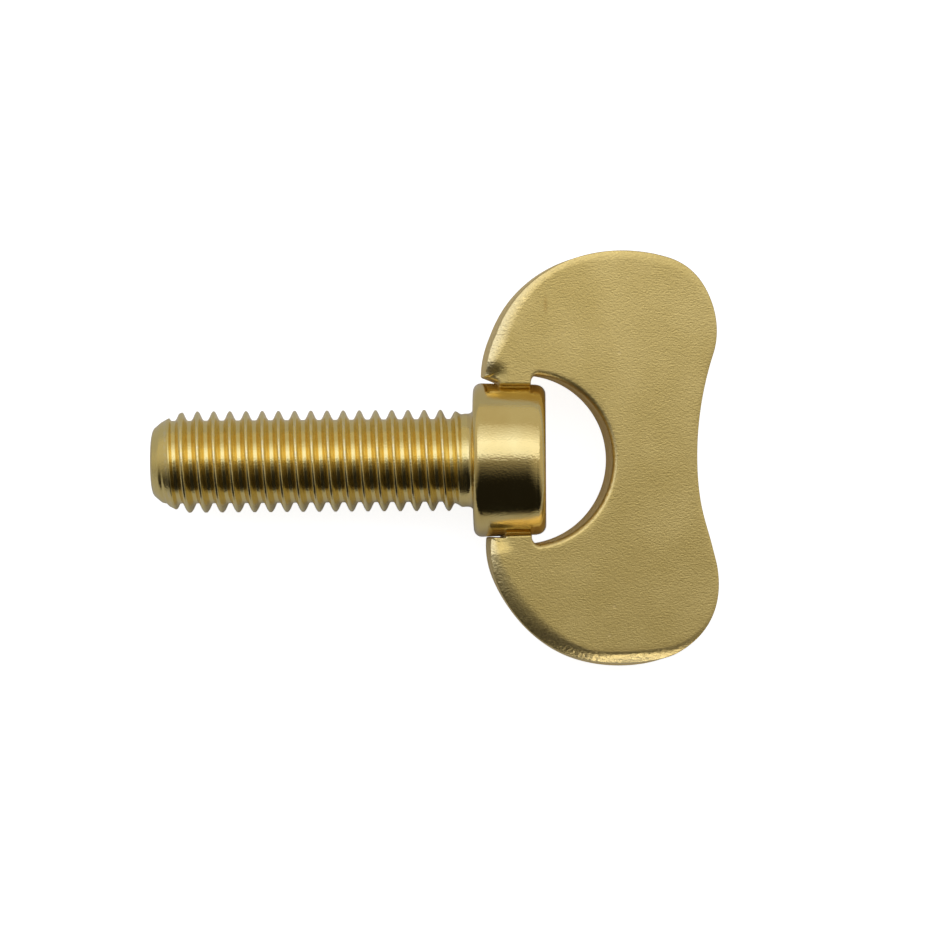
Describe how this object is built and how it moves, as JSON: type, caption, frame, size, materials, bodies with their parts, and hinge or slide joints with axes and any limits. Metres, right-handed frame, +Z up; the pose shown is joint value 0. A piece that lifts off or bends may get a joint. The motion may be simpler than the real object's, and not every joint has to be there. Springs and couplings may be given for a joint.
{
  "type": "wing bolt",
  "caption": "Hand-tightened wing bolt: threaded shank with a plain round collar, and a kidney-shaped stamped wing with an open eye, welded to the collar.",
  "frame": {"origin": "on the bolt's axis, in the plane of the collar's seat face", "axes": "+X along the bolt's axis from the seat towards the wing, so the thread points along -X; +Y across the wing; +Z up, out of the wing's upper face, with the bolt lying on its collar"},
  "size_m": [0.0437, 0.0322, 0.0118],
  "materials": {
    "screw": "bright brass plating over a rolled and headed steel screw",
    "wing": "satin brass plating over tumbled steel plate"
  },
  "bodies": {
    "root": {"screw": "screw", "wing": "wing"}
  },
  "joints": []
}
